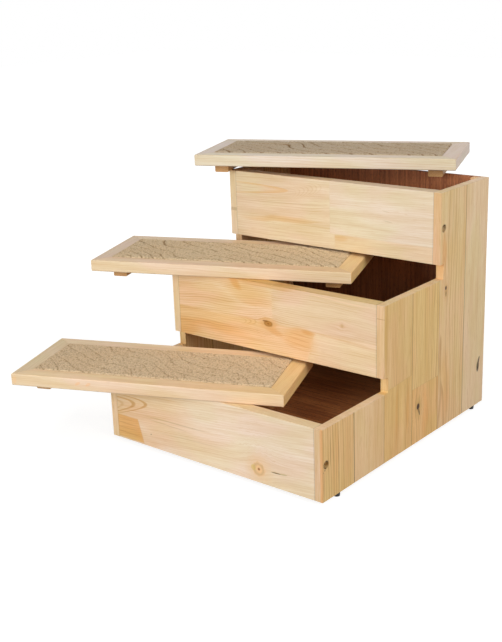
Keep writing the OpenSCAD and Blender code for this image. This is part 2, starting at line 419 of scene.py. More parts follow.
PALE = dict(early=srgb(240, 220, 192), late=srgb(218, 182, 134))
TAN = dict(early=srgb(236, 203, 154), late=srgb(198, 151, 96))
# The cleats under the treads are coloured darker than the other pine: painted shade.
SHADED_CLEAT = dict(early=srgb(206, 164, 116), late=srgb(176, 132, 86))
BASE = dict(early=srgb(214, 184, 140), late=srgb(186, 144, 98))
KNOT_WOOD = srgb(206, 156, 92)
KNOT_EYE = srgb(120, 76, 38)
RESIN = srgb(60, 30, 8)
SEAM = srgb(84, 50, 20)
END_GRAIN = srgb(226, 202, 174)
TORN_WOOD_AND_SHADE = srgb(66, 42, 18)
AMBER_LINE = srgb(226, 164, 100)
RUST = srgb(160, 100, 54)
OLIVE = srgb(176, 156, 92)
HONEY = srgb(206, 166, 100)


# Marks in a board's face. Places are in millimetres along the grain and across the face. Long and wide are
# half sizes, and slant is how far a mark climbs across the face for each millimetre along.

# A slit, a resin mark or one dark line of late wood
Fleck = namedtuple("Fleck", "at long wide slant share colour")
# A soft patch of another tone
Blush = namedtuple("Blush", "at long wide slant tint")
# A block glued in from another stick, from corner to corner, with the softness and the dark of its seam
Block = namedtuple("Block", "low high slant soft seam tint")
# Rings that a flat cut shows as arches behind a tip
Arch = namedtuple("Arch", "tip sharp spacing depth wide slant share tint")
# A knot: its disc of wood with rings, the glow of its halo, the core of its eye, and how strong each is
Knot = namedtuple("Knot", "at radius stretch bend heart wood disc ringed glow halo core eye",
                  defaults=(1.0, 0.85, 0.42, KNOT_WOOD, 0.8, 0.82, KNOT_WOOD, 0.25, KNOT_EYE, 0.85))


def spot(t, board, mark, core):
    return t.use(SPOT, {"Board": board, "Centre": (*mark.at, 0), "Long": mark.long, "Wide": mark.wide,
                        "Slant": mark.slant, "Core": core})["Mask"]


def bend_round_knots(t, board, knots):
    """The board's coordinates, led round its knots, and the knots' masks."""
    bent = board
    masked = []
    for knot in knots:
        made = t.use(KNOT, {"Board": bent, "Centre": (*knot.at, 0), "Radius": knot.radius,
                            "Stretch": knot.stretch, "Bend": knot.bend, "Heart": knot.heart})
        bent = made["Board"]
        masked.append((made, knot))
    return bent, masked


BLOCK_SHIFT = (131.0, 17.0, 29.0)


def shift_in_blocks(t, board, grain, blocks):
    """The grain's coordinates, moved to another part of the tree in each block, and the blocks' masks."""
    masked = []
    for number, block in enumerate(blocks, 1):
        made = t.use(BLOCK, {"Board": board, "Low": (*block.low, 0), "High": (*block.high, 0),
                             "Slant": block.slant, "Soft": block.soft})
        inside = t.math("GREATER_THAN", made["Mask"], 0.5)
        moved = tuple(v * number for v in BLOCK_SHIFT)
        grain = t.vector("ADD", grain, t.vector("MULTIPLY", moved, t.join(inside, inside, inside)))
        masked.append((made, block))
    return grain, masked


def paint_faces(t, board, colour, front, face_shading, rim):
    """Tones of their own for a stave's front edge and a stave's sawn top, and painted light and shade on a
    board's far edge across its face.
    """
    if front:
        edge, tone = front
        mask = t.smooth(t.minus(t.split(board)[1], edge), 0.5, 1.0, 1.0, 0.0)
        colour = t.mix(t.times(mask, 0.75), colour, tone)
    # Painted light and shade: the board's far face across it is tinted, darker on a riser's top and on the
    # middle front rail's top, lighter on a right rail's outer side.
    if face_shading:
        level, tint = face_shading
        colour = t.tint_in(t.smooth(t.minus(t.split(board)[1], level), -0.5, -0.15), colour, tint)
    if rim:
        mask = t.smooth(t.minus(t.split(board)[0], rim), -0.9, -0.4)
        colour = t.mix(t.times(mask, 0.7), colour, END_GRAIN)
    return colour


def vary_slowly(t, rings, colour, late):
    """The slow changes of hue along a board, the fine fibres and the short dark resin canals."""
    colour = t.toned(colour, t.smooth(rings["Blush"], 0.35, 0.65), (1.02, 0.975, 0.98), (0.985, 0.985, 0.9))
    colour = t.toned(colour, t.smooth(rings["Tone"], 0.3, 0.7), (0.965, 0.925, 0.85), (1.04, 1.06, 1.09))
    colour = t.toned(colour, t.smooth(rings["Fibre"], 0.25, 0.75), (0.95, 0.89, 0.79), (1.05, 1.07, 1.11))
    return t.mix(t.times(rings["Canals"], 0.3), colour, late)


def paint_knots(t, colour, masked_knots):
    for made, knot in masked_knots:
        colour = t.mix(t.times(made["Halo"], knot.halo), colour, knot.glow)
        own = t.shade(knot.wood, t.span(made["Swirl"], 0.0, 1.0, knot.ringed, 1.06))
        colour = t.mix(t.times(made["Disc"], knot.disc), colour, own)
        colour = t.mix(t.times(made["Eye"], knot.eye), colour, knot.core)
    return colour


def paint_seams(t, board, colour, rings, masked_blocks, seams):
    """The glue lines round blocks, and those between staves: place across, top end along, strength."""
    for made, block in masked_blocks:
        colour = t.shade(colour, t.span(made["Seam"], 0.0, 1.0, 1.0, 1.0 - block.seam))
    for level, top, dark in seams:
        line = t.smooth(t.math("ABSOLUTE", t.minus(t.split(board)[1], level)), 0.3, 1.2, dark, 0.0)
        line = t.times(line, t.span(rings["Tone"], 0.25, 0.75, 0.6, 1.2))
        line = t.times(line, t.smooth(t.split(board)[0], top - 1.0, top, 1.0, 0.0))
        colour = t.mix(line, colour, SEAM)
    return colour


def darken_ends(t, node, place, axes, board, colour, ends):
    """A fine dark line at both ends of a board, where it meets the next."""
    low, high = local_box(node, place)
    along = "XYZ".index(axes[0])
    from_middle = t.math("ABSOLUTE", t.minus(t.split(board)[0], (low[along] + high[along]) / 2))
    to_end = t.minus((high[along] - low[along]) / 2, from_middle)
    return t.shade(colour, t.smooth(to_end, 0.2, 1.6, 1.0 - ends, 1.0))


def line_corner(t, board, colour, rings, corner):
    """A broken line of another tone along a stave's outer front corner."""
    through, tone = corner
    _, y, z = t.split(board)
    mask = t.times(t.smooth(z, through, through + 1.2), t.smooth(y, 1.2, 2.4, 1.0, 0.0))
    mask = t.times(mask, t.smooth(rings["Tone"], 0.3, 0.65, 0.35, 0.9))
    return t.mix(mask, colour, tone)


TORN_REACH = 2.0


def torn_and_shaded_bore(t, board, colour, bore):
    """The torn edge of a screw hole, and painted shade in its inside, darkest above and in front."""
    centre, radius, through = bore
    x, y, z = t.split(t.vector("SUBTRACT", board, (*centre, through)))
    away = t.math("SQRT", t.squares(x, y))
    inside = t.times(t.smooth(away, radius, radius + TORN_REACH, 1.0, 0.0), t.smooth(z, -0.5, 0.0, 1.0, 0.55))
    # Painted shade: the inside darkens towards the hole's upper front wall.
    dark = t.smooth(t.minus(y, t.times(x, 0.5)), 2.0, 4.5, 0.98, 0.35)
    return t.mix(t.times(inside, dark), colour, TORN_WOOD_AND_SHADE)


def pine(node, place, axes, early, late, ring=2.8, pith=(140.0, 30.0), wander=8.0, rise=0.0, curve=0.0,
         contrast=0.5, thin=0.5, tint=(1.0, 1.0, 1.0), roughness=0.42, gloss=0.2, calm=None, blocks=(),
         knots=(), arches=(), blushes=(), flecks=(), front=None, face_shading=None, rim=None, seams=(), ends=0.0,
         corner=None, bore=None):
    """Sanded pine for one board. Its grain runs along the first axis and its face shows the first two.

    The rings are so many millimetres wide, round a pith that lies so far across and through from the board's
    middle, and they wander, rise and curve along it. Calm fades the late wood between two places along it.
    """
    t, connect = new_material(node + "_pine")
    board = board_vector(t, place, axes)
    low, high = local_box(node, place)
    middle = on_axes((low + high) / 2, axes)
    bent, masked_knots = bend_round_knots(t, board, knots)
    x, y, z = t.split(t.vector("SUBTRACT", bent, middle))
    risen = t.times(x, t.plus(t.times(x, curve), rise))
    grain, masked_blocks = shift_in_blocks(t, board, t.join(x, t.minus(y, risen), z), blocks)
    seed = (middle[0] * GRAIN_SHIFT[0] + middle[1] * GRAIN_SHIFT[1], 0.0, 0.0)
    rings = t.use(RINGS, {"Board": t.vector("ADD", grain, seed), "Pith": (0.0, *pith), "Ring": ring,
                          "Wander": wander, "Thin": thin})
    late_share = t.times(rings["Late"], contrast)
    if calm:
        start, end, calmed = calm
        late_share = t.times(late_share, t.smooth(t.split(board)[0], start, end, 1.0, calmed))
    fills = []
    for arch in arches:
        made = t.use(ARCH, {"Board": board, "Tip": (*arch.tip, 0), "Sharp": arch.sharp,
                            "Spacing": arch.spacing, "Depth": arch.depth, "Wide": arch.wide,
                            "Slant": arch.slant})
        lines = t.times(made["Line"], arch.share)
        late_share = t.add("ShaderNodeMix", {0: made["Mask"], 2: late_share, 3: lines})
        fills.append((made["Fill"], arch.tint))
    colour = t.mix(late_share, early, late)
    for made, block in masked_blocks:
        colour = t.tint_in(made["Mask"], colour, block.tint)
    for mask, fill_tint in fills:
        colour = t.tint_in(mask, colour, fill_tint)
    for mark in blushes:
        colour = t.tint_in(spot(t, bent, mark, 0.0), colour, mark.tint)
    colour = paint_faces(t, board, t.tinted(colour, tint), front, face_shading, rim)
    colour = paint_knots(t, vary_slowly(t, rings, colour, late), masked_knots)
    for mark in flecks:
        colour = t.mix(t.times(spot(t, board, mark, 0.3), mark.share), colour, mark.colour)
    colour = paint_seams(t, board, colour, rings, masked_blocks, seams)
    if ends:
        colour = darken_ends(t, node, place, axes, board, colour, ends)
    if corner:
        colour = line_corner(t, board, colour, rings, corner)
    if bore:
        colour = torn_and_shaded_bore(t, board, colour, bore)
    normal = t.bump(t.plus(rings["Fibre"], t.times(rings["Late"], 0.4)), 0.25, 0.00012)
    rough = t.span(rings["Late"], 0.0, 1.0, roughness + 0.05, roughness - 0.05)
    dress(node, connect(Base_Color=colour, Roughness=rough, Normal=normal, Specular_IOR_Level=gloss))
    ease(node)


EASED = 0.5 * MM
SAME_PLACE = 0.01 * MM
SAME_FACE = math.radians(1)
SHARP = math.radians(40)


def ease(node):
    """Breaks a board's sharp edges a little, as sanding does."""
    board = nodes[node]
    joined = board.modifiers.new("joined", "WELD")
    joined.merge_threshold = SAME_PLACE
    flat = board.modifiers.new("flat", "DECIMATE")
    flat.decimate_type = "DISSOLVE"
    flat.angle_limit = SAME_FACE
    rounded = board.modifiers.new("eased", "BEVEL")
    rounded.width = EASED
    rounded.segments = 2
    rounded.limit_method = "ANGLE"
    rounded.angle_limit = SHARP


# Waves a millimetre in the veneer of the plywood
STREAK_WAVES = (0.012, 0.22, 0.5)
FIGURE_WAVES = (0.006, 0.03, 0.03)
VENEER_WAVES = (0.06, 2.2, 2.2)
PORE_WAVES = (0.16, 1.5, 1.5)
PLIES = 3
PORE = srgb(52, 28, 20)
CORE_PLY = srgb(176, 128, 86)


def plywood(node, axes, bright, dark, painted_light_and_shade):
    """Reddish brown plywood: streaked veneer with open pores on its faces, and its plies on its edges.

    The inner face carries painted light and shade, as the box's shade and the light through its openings
    fall: it goes from one brightness to another along one axis, between two places, with the brightness at
    each.
    """
    t, connect = new_material(node + "_plywood")
    board = board_vector(t, BOX, axes)
    low, high = local_box(node, BOX)
    thin = "XYZ".index(axes[2])
    streak = t.noise(board, STREAK_WAVES, 3.0, 0.6)
    figure = t.noise(board, FIGURE_WAVES, 2.0)
    fine = t.noise(board, VENEER_WAVES, 2.0, 0.6)
    pores = t.smooth(t.noise(board, PORE_WAVES, 0.0), 0.62, 0.72)
    streaks = t.plus(t.times(streak, 0.7), t.times(figure, 0.3))
    colour = t.mix(t.smooth(streaks, 0.34, 0.66), dark, bright)
    colour = t.shade(colour, t.span(fine, 0.2, 0.8, 0.86, 1.12))
    colour = t.mix(t.times(pores, 0.6), colour, PORE)
    depth = t.minus(t.split(board)[2], low[thin])
    inner = low[thin] if axes[2] == "Y" else high[thin]
    at_inner = t.smooth(t.math("ABSOLUTE", t.minus(t.split(board)[2], inner)), 0.2, 0.6, 1.0, 0.0)
    # Painted light and shade on the inner face.
    along, start, end, first, last = painted_light_and_shade
    lit_and_shaded = t.shade(colour, t.smooth(t.split(board)[along], start, end, first, last))
    colour = t.mix(at_inner, colour, lit_and_shaded)
    layer = t.times(depth, PLIES / (high[thin] - low[thin]))
    core = t.math("COMPARE", t.math("FLOOR", layer), PLIES // 2, 0.1)
    colour = t.mix(t.times(core, 0.7), colour, CORE_PLY)
    dress(node, connect(Base_Color=colour, Roughness=t.span(fine, 0.2, 0.8, 0.62, 0.5),
                        Normal=t.bump(t.minus(fine, pores), 0.4, 0.0002), Specular_IOR_Level=0.3))


METAL_WAVES = (900.0, 900.0, 900.0)
PLASTIC_WAVES = (1600.0, 1600.0, 1600.0)


def metal(node, name, colour, roughness):
    """Plated steel with a slight unevenness in its gloss."""
    t, connect = new_material(name)
    fine = t.noise(object_vector(t), METAL_WAVES, 2.0)
    dress(node, connect(Base_Color=t.shade(colour, t.span(fine, 0.3, 0.7, 0.85, 1.1)), Metallic=1.0,
                        Roughness=t.span(fine, 0.3, 0.7, roughness - 0.08, roughness + 0.1)))


def moulded_plastic(node):
    """Black moulded plastic with a fine spark-eroded skin."""
    t, connect = new_material(node + "_plastic")
    skin = t.noise(object_vector(t), PLASTIC_WAVES, 2.0)
    dress(node, connect(Base_Color=t.mix(skin, srgb(16, 16, 17), srgb(34, 34, 36)),
                        Roughness=t.span(skin, 0.3, 0.7, 0.4, 0.55), Normal=t.bump(skin, 0.3, 0.0001)))


# Boards of the box. A rim is the height of a stave's sawn top. A seam is a glue joint's place from the front,
# with its strength.

STAVE_RIMS = {1: 101.5, 2: 101.5, 3: 227.5, 4: 227.5, 5: 353.5, 6: 353.5}
STAVE_SEAMS = {1: (72.5, 0.75), 2: (145.0, 0.35), 3: (217.5, 0.45), 4: (290.0, 0.25), 5: (362.5, 0.5)}
SEAM_PAST_RIM = 0.1
SCREW_HOLE_R = 5.0
RIGHT_FACE = 384.0

STAVES = {
    1: dict(TAN, ring=5.2, pith=(-90.0, 25.0), wander=8.0, contrast=1.0, thin=0.62, tint=(0.97, 0.95, 0.86)),
    2: dict(TAN, ring=3.2, pith=(130.0, 40.0), wander=10.0, contrast=0.4, tint=(1.0, 1.02, 1.08)),
    3: dict(TAN, ring=3.4, pith=(-110.0, 40.0), wander=16.0, contrast=0.75, tint=(1.0, 1.0, 0.94)),
    4: dict(TAN, ring=3.8, pith=(60.0, 50.0), wander=22.0, contrast=0.8, tint=(1.02, 1.02, 0.92)),
    5: dict(TAN, ring=5.4, pith=(-34.0, 44.0), wander=18.0, contrast=0.7, thin=0.6, tint=(1.01, 1.03, 1.07)),
    6: dict(TAN, ring=4.0, pith=(90.0, 70.0), wander=9.0, contrast=0.35, tint=(1.03, 1.12, 1.36)),
}

RIGHT_MARKS = {
    1: dict(
        front=(0.0, srgb(219, 189, 160)), corner=(380.4, AMBER_LINE),
        bore=((51.0, 9.0), SCREW_HOLE_R, RIGHT_FACE),
        flecks=[
            Fleck((66.0, 18.6), 26.0, 0.6, 0.0, 0.75, RUST),
            Fleck((40.0, 37.5), 46.0, 0.7, 0.0, 0.6, RUST),
            Fleck((60.0, 27.0), 50.0, 0.8, 0.0, 0.35, OLIVE),
            Fleck((44.0, 6.0), 1.6, 1.1, 0.0, 0.75, RESIN),
            Fleck((41.5, 3.0), 1.2, 0.8, 0.0, 0.5, RESIN),
            Fleck((25.0, 3.4), 22.0, 0.7, 0.02, 0.6, RUST),
            Fleck((50.0, 56.0), 60.0, 1.6, 0.0, 0.3, AMBER_LINE),
        ],
        blushes=[Blush((50.0, 30.0), 90.0, 9.0, 0.02, (0.96, 0.9, 0.8))],
    ),
    3: dict(
        front=(145.0, srgb(226, 192, 158)),
        flecks=[Fleck((208.4, 145.0), 0.5, 1.5, 0.0, 0.6, RUST)],
        blocks=[Block((-10.0, 140.0), (104.0, 230.0), 0.06, 1.2, 0.1, (0.99, 0.94, 0.85))],
        blushes=[
            Blush((190.0, 151.0), 90.0, 6.0, 0.0, (0.9, 0.82, 0.66)),
            Blush((60.0, 190.0), 50.0, 7.0, 0.0, (1.05, 1.07, 1.1)),
            Blush((60.0, 178.0), 60.0, 4.0, 0.03, (0.98, 0.9, 0.76)),
            Blush((60.0, 206.0), 46.0, 5.0, 0.04, (0.97, 0.88, 0.72)),
        ],
    ),
    4: dict(
        blocks=[Block((-10.0, 210.0), (85.0, 300.0), 0.0, 1.2, 0.1, (1.0, 0.93, 0.86))],
        knots=[Knot((54.0, 235.0), 5.0, stretch=1.8, disc=0.5, halo=0.5, eye=0.0, glow=HONEY)],
        flecks=[
            Fleck((55.0, 234.4), 5.6, 4.4, 0.1, 1.0, RESIN),
            Fleck((46.0, 237.0), 7.0, 1.8, -0.25, 0.75, RESIN),
            Fleck((64.0, 286.6), 46.0, 1.0, 0.0, 0.35, RUST),
            Fleck((50.0, 262.0), 40.0, 1.4, 0.0, 0.4, AMBER_LINE),
        ],
        blushes=[Blush((40.0, 252.0), 50.0, 12.0, 0.0, (1.02, 0.93, 0.84))],
    ),
    5: dict(
        front=(290.0, srgb(222, 182, 145)), bore=((302.0, 299.0), SCREW_HOLE_R, RIGHT_FACE),
        knots=[Knot((209.0, 307.8), 3.2, stretch=2.8, disc=0.6, eye=0.0)],
        flecks=[
            Fleck((213.0, 307.6), 3.6, 2.4, 0.0, 1.0, RESIN),
            Fleck((204.0, 307.9), 5.0, 1.1, 0.0, 0.7, RESIN),
            Fleck((262.0, 306.0), 36.0, 0.9, 0.05, 0.5, AMBER_LINE),
            Fleck((262.0, 297.0), 30.0, 0.8, -0.02, 0.45, AMBER_LINE),
        ],
        blushes=[
            Blush((262.0, 300.0), 44.0, 8.0, 0.0, (0.98, 0.88, 0.76)),
            Blush((60.0, 310.0), 70.0, 20.0, 0.0, (1.0, 0.9, 0.8)),
            Blush((330.0, 326.0), 70.0, 50.0, 0.0, (1.0, 1.04, 1.14)),
        ],
        arches=[Arch((296.0, 301.5), 0.5, 34.0, 90.0, 7.0, 0.0, 0.3, (0.98, 0.92, 0.84))],
    ),
    6: dict(
        flecks=[
            Fleck((62.0, 411.4), 10.0, 4.0, 0.0, 1.0, RESIN),
            Fleck((72.0, 413.0), 7.0, 2.6, 0.25, 0.9, RESIN),
            Fleck((66.0, 409.0), 12.0, 3.4, 0.0, 0.25, OLIVE),
        ],
        blushes=[Blush((300.0, 392.0), 120.0, 30.0, 0.0, (1.03, 1.07, 1.12))],
    ),
}

LEFT_MARKS = {
    1: dict(front=(0.0, srgb(233, 203, 164))),
    2: dict(knots=[Knot((38.0, 104.0), 4.5, stretch=1.3)]),
    3: dict(front=(145.0, srgb(232, 208, 179))),
    5: dict(
        front=(290.0, srgb(228, 210, 184)),
        flecks=[Fleck((291.5, 290.0), 3.4, 2.0, 0.0, 0.3, srgb(132, 100, 58))],
    ),
    6: dict(knots=[Knot((180.0, 392.0), 5.5, stretch=1.2)]),
}

# Each riser's top face is tinted darker than its front: painted shade.
RISERS = {
    "bottom": dict(
        ring=3.4, pith=(-150.0, 40.0), wander=20.0, rise=0.1, contrast=0.5, ends=0.25,
        calm=(120.0, 260.0, 0.45), face_shading=(101.5, (0.93, 0.88, 0.76)), tint=(1.0, 0.995, 1.08),
        blocks=[Block((0.0, 2.4), (63.9, 37.5), -0.3, 1.4, 0.05, (0.93, 0.73, 0.42))],
        arches=[Arch((74.0, 65.5), 3.8, 25.0, 62.0, 19.0, 0.2, 1.4, (0.97, 0.92, 0.84))],
        blushes=[
            Blush((30.0, 60.0), 150.0, 90.0, 0.0, (0.96, 0.88, 0.76)),
            Blush((120.0, 30.0), 120.0, 60.0, -0.1, (0.99, 0.96, 0.91)),
            Blush((350.0, 60.0), 130.0, 90.0, 0.0, (0.95, 0.945, 0.95)),
        ],
        knots=[
            Knot((279.5, 19.8), 11.5, bend=0.6, heart=0.22, wood=srgb(236, 190, 136), disc=0.85, ringed=0.8,
                 glow=srgb(236, 196, 150), halo=0.5, core=srgb(166, 98, 52), eye=0.9),
        ],
        flecks=[
            Fleck((309.0, 21.8), 10.0, 0.9, 0.05, 0.95, srgb(112, 84, 34)),
            Fleck((321.0, 22.8), 8.0, 1.4, 0.1, 0.5, OLIVE),
            Fleck((79.0, 20.0), 1.2, 1.1, 0.0, 0.6, RESIN),
            Fleck((270.0, 21.0), 5.0, 5.0, 0.0, 0.5, srgb(216, 184, 96)),
            Fleck((131.0, 48.6), 70.0, 1.1, 0.03, 0.4, srgb(186, 152, 100)),
            Fleck((112.0, 42.6), 50.0, 1.0, -0.02, 0.3, srgb(186, 152, 100)),
            Fleck((150.0, 30.0), 80.0, 0.9, 0.05, 0.25, srgb(196, 160, 110)),
            Fleck((32.0, 11.0), 30.0, 0.9, 0.0, 0.45, srgb(186, 124, 60)),
            Fleck((30.0, 18.0), 28.0, 0.7, 0.03, 0.35, srgb(186, 124, 60)),
            Fleck((28.0, 25.5), 26.0, 0.9, 0.0, 0.4, srgb(186, 124, 60)),
            Fleck((26.0, 32.0), 22.0, 0.7, 0.02, 0.3, srgb(186, 124, 60)),
        ],
    ),
    "middle": dict(
        ring=3.1, pith=(150.0, 30.0), wander=18.0, rise=0.04, curve=-0.0002, contrast=1.0, ends=0.3,
        calm=(170.0, 290.0, 0.42), face_shading=(227.5, (0.84, 0.79, 0.56)), tint=(0.985, 0.93, 0.88),
        blocks=[
            Block((194.0, 170.5), (400.0, 240.0), 0.0, 5.0, 0.0, (0.955, 0.955, 1.01)),
            Block((-100.0, 100.0), (248.4, 169.5), 0.3, 5.0, 0.0, (0.99, 0.91, 0.79)),
        ],
        blushes=[
            Blush((60.0, 160.0), 170.0, 80.0, 0.0, (0.97, 0.9, 0.8)),
            Blush((126.0, 221.0), 15.0, 9.0, -0.5, (0.95, 0.8, 0.58)),
            Blush((150.0, 212.0), 62.0, 22.0, -0.25, (0.96, 0.85, 0.68)),
            Blush((186.0, 227.5), 74.0, 7.0, 0.0, (0.93, 0.78, 0.55)),
            Blush((198.0, 161.0), 18.0, 8.0, -0.3, (0.94, 0.82, 0.66)),
            Blush((258.0, 166.5), 16.0, 4.0, -0.03, (0.92, 0.77, 0.56)),
            Blush((240.0, 154.0), 40.0, 18.0, -0.05, (0.97, 0.87, 0.71)),
            Blush((15.0, 135.0), 46.0, 18.0, 0.0, (0.96, 0.84, 0.66)),
            Blush((80.0, 146.0), 90.0, 10.0, -0.04, (0.97, 0.87, 0.72)),
        ],
        arches=[Arch((164.0, 167.0), 2.6, 9.0, 26.0, 8.0, 0.1, 0.55, (0.99, 0.94, 0.86))],
        knots=[
            Knot((186.5, 168.4), 4.9, stretch=1.8, wood=srgb(184, 128, 58), disc=0.9,
                 glow=srgb(226, 168, 102), halo=0.6, core=srgb(142, 88, 34), eye=0.7),
            Knot((316.0, 188.0), 2.6, disc=0.3, halo=0.15, eye=0.2),
        ],
        flecks=[
            Fleck((181.0, 171.4), 6.0, 1.6, 0.0, 0.8, srgb(140, 92, 40)),
            Fleck((195.0, 222.8), 62.0, 0.8, 0.0, 0.4, srgb(206, 150, 92)),
            Fleck((312.0, 222.6), 62.0, 1.2, -0.034, 0.4, srgb(250, 214, 184)),
            Fleck((246.0, 161.0), 24.0, 1.1, -0.08, 0.45, srgb(214, 146, 84)),
            Fleck((240.0, 154.5), 26.0, 1.0, -0.1, 0.4, srgb(214, 146, 84)),
            Fleck((234.0, 148.0), 26.0, 1.0, -0.12, 0.35, srgb(214, 146, 84)),
            Fleck((236.0, 141.0), 24.0, 1.0, -0.12, 0.3, srgb(214, 146, 84)),
            Fleck((300.0, 168.0), 78.0, 1.0, -0.05, 0.35, srgb(224, 174, 122)),
        ],
    ),
    "top": dict(
        ring=3.3, pith=(-120.0, 50.0), wander=22.0, rise=0.04, contrast=0.45, ends=0.25,
        calm=(150.0, 230.0, 0.55), face_shading=(353.5, (0.82, 0.75, 0.7)), tint=(0.93, 0.945, 0.975),
        blocks=[
            Block((194.5, 274.0), (400.0, 360.0), 0.0, 2.0, 0.03, (1.0, 1.04, 1.1)),
            Block((203.0, 240.0), (400.0, 274.0), 0.0, 1.5, 0.03, (1.01, 0.98, 0.93)),
        ],
        arches=[
            Arch((117.0, 331.0), 0.9, 60.0, 66.0, 12.0, 0.03, 0.0, (0.97, 0.84, 0.64)),
            Arch((180.0, 342.0), 6.0, 8.0, 60.0, 16.0, 0.25, 0.3, (1.0, 1.0, 0.98)),
        ],
        blushes=[
            Blush((60.0, 300.0), 200.0, 90.0, 0.0, (0.98, 0.95, 0.9)),
            Blush((100.0, 284.5), 92.0, 6.5, 0.045, (0.96, 0.85, 0.68)),
            Blush((214.0, 269.0), 16.0, 6.0, 0.0, (0.97, 0.88, 0.76)),
        ],
        flecks=[
            Fleck((297.0, 303.0), 9.0, 0.9, -0.1, 0.3, OLIVE),
            Fleck((293.0, 318.0), 7.0, 0.8, -0.1, 0.25, OLIVE),
            Fleck((105.0, 311.0), 95.0, 1.0, 0.04, 0.4, srgb(204, 166, 114)),
            Fleck((300.0, 288.0), 80.0, 1.0, -0.06, 0.2, srgb(214, 180, 136)),
        ],
    ),
}


def dress_box():
    for k, rim in STAVE_RIMS.items():
        seams = []
        for n in (k - 1, k):
            if n in STAVE_SEAMS:
                at, strength = STAVE_SEAMS[n]
                seams.append((at, min(STAVE_RIMS[n], rim) + SEAM_PAST_RIM, strength))
        shared = dict(seams=seams, rim=rim)
        pine(f"right_stave_{k}", BOX, UPRIGHT_SIDE, **shared, **STAVES[k], **RIGHT_MARKS.get(k, {}))
        pine(f"left_stave_{k}", BOX, UPRIGHT_SIDE, **shared, **STAVES[7 - k], **LEFT_MARKS.get(k, {}))
    for level in LEVELS:
        pine(level + "_riser", BOX, LENGTHWISE, **PALE, **RISERS[level])
    for side in SIDES:
        pine(f"{side}_floor_batten", BOX, CROSSWISE, **TAN, ring=3.0)
        pine(f"{side}_corner_batten", BOX, UPRIGHT_BACK, **TAN, ring=2.6, tint=(1.0, 0.95, 0.93))
    # Painted light and shade: the floor panel's inner face is lighter at the front and darker to the back,
    # and the back panel's is darker low down and lighter at the top.
    plywood("floor_panel", FLAT, srgb(214, 148, 94), srgb(158, 98, 60), (1, 190.0, 400.0, 1.28, 0.5))
    plywood("back_panel", UPRIGHT_BACK, srgb(188, 120, 78), srgb(144, 88, 58), (0, 150.0, 330.0, 0.5, 1.25))
    pine("riser_dowels", BOX, FLAT, **TAN, ring=2.0)
    # The screw heads' steel is coloured brown-black: painted shade, as they sit at the bottom of their holes.
    metal("riser_screws", "dark_steel", srgb(44, 36, 28), 0.6)
    metal("back_nails", "nail_steel", srgb(190, 190, 192), 0.35)
    for glide in ("front_left", "front_right", "rear_left", "rear_right"):
        moulded_plastic(glide + "_glide")


# Treads

RAIL_TONES = {
    "bottom": dict(front=(232, 207, 180), back=(230, 206, 176), left=(218, 197, 162), right=(230, 200, 149)),
    "middle": dict(front=(226, 204, 177), back=(224, 200, 174), left=(214, 190, 168), right=(230, 201, 153)),
    "top": dict(front=(220, 208, 192), back=(218, 202, 188), left=(212, 198, 190), right=(214, 196, 182)),
}
RAIL_LATE_SHARES = (0.88, 0.77, 0.62, 1.0)
# Painted light and shade: how the top of a front rail and the outer side of a right rail are tinted apart
# from the rail's other faces.
RAIL_FACE_SHADING = {
    ("bottom", "front"): (1.04, 1.0, 0.87),
    ("middle", "front"): (1.0, 0.91, 0.86),
    ("bottom", "right"): (1.08, 1.06, 1.04),
    ("middle", "right"): (1.15, 1.15, 1.08),
}
RAIL_FLECKS = {("bottom", "front"): [
    Fleck((-98.0, 10.0), 5.0, 2.6, 0.4, 0.4, srgb(240, 176, 108)),
    Fleck((-82.0, 10.0), 5.0, 2.6, 0.4, 0.4, srgb(240, 176, 108)),
    Fleck((-197.0, 8.0), 4.0, 7.0, 0.0, 0.3, srgb(244, 190, 130)),
]}


def dress_tread(level, seed):
    """The finishes of a tread. Each rail is cut from another part of the tree."""
    place = TREADS[level]
    for number, (side, tone) in enumerate(RAIL_TONES[level].items()):
        axes = LENGTHWISE if side in ("front", "back") else CROSSWISE
        node = f"{level}_tread_{side}_rail"
        early = srgb(*tone)
        late = tuple(v * share for v, share in zip(early, RAIL_LATE_SHARES))
        # The far face of a rail gets its painted light and shade here.
        face_shading = None
        if (level, side) in RAIL_FACE_SHADING:
            face_shading = (on_axes(local_box(node, place)[1], axes)[1], RAIL_FACE_SHADING[level, side])
        pine(node, place, axes, early=early, late=late, flecks=RAIL_FLECKS.get((level, side), []), face_shading=face_shading,
             ring=2.4 + 0.5 * ((seed + number) % 3), pith=(50.0 + 20.0 * number, -38.0 - 6.0 * number),
             wander=12.0, contrast=0.55, rise=0.02 * (number - 1), roughness=0.36, gloss=0.35)
    for side in SIDES:
        pine(f"{level}_tread_{side}_cleat", place, CROSSWISE, **SHADED_CLEAT, ring=2.8, pith=(14.0, -24.0))
    pine(level + "_tread_base", place, FLAT, **BASE, ring=6.0, pith=(0.0, 300.0), wander=60.0, contrast=0.5)
    metal(level + "_tread_cleat_screws", level + "_bright_steel", srgb(196, 196, 200), 0.3)


# Loop pile carpet: a sheet of domed loops, with shallow wandering valleys between its ribs. Lengths are in
# millimetres. The noise is read at another place for each tread's seed.

# Width of the mesh's squares, and how far the middle of the pile stands above the carpet's solid
PILE_STEP = 0.67
PILE_RAISED = 2.8
# A loop's width and depth, and how far seeds lie apart in the loops' noise
LOOP = Vector((2.0, 2.8))
LOOP_SEEDS_APART = 11.0
# Height of a loop's dome, the share of it above the middle, and where and how fast it falls to its edge
DOME = 1.4
DOME_ABOVE = 0.45
DOME_EDGE = 0.9
DOME_FALL = 1.5
# How unevenly loops stand
UNEVEN = 0.2
# The ribs' pitch and lean, how far they wander and over what lengths, and how far seeds lie apart for them
RIB_PITCH = 20.5
RIB_LEAN = math.radians(54)
RIB_WANDERS = ((26.0, 75.0), (4.0, 30.0))
RIB_SEEDS_APART = 40.0
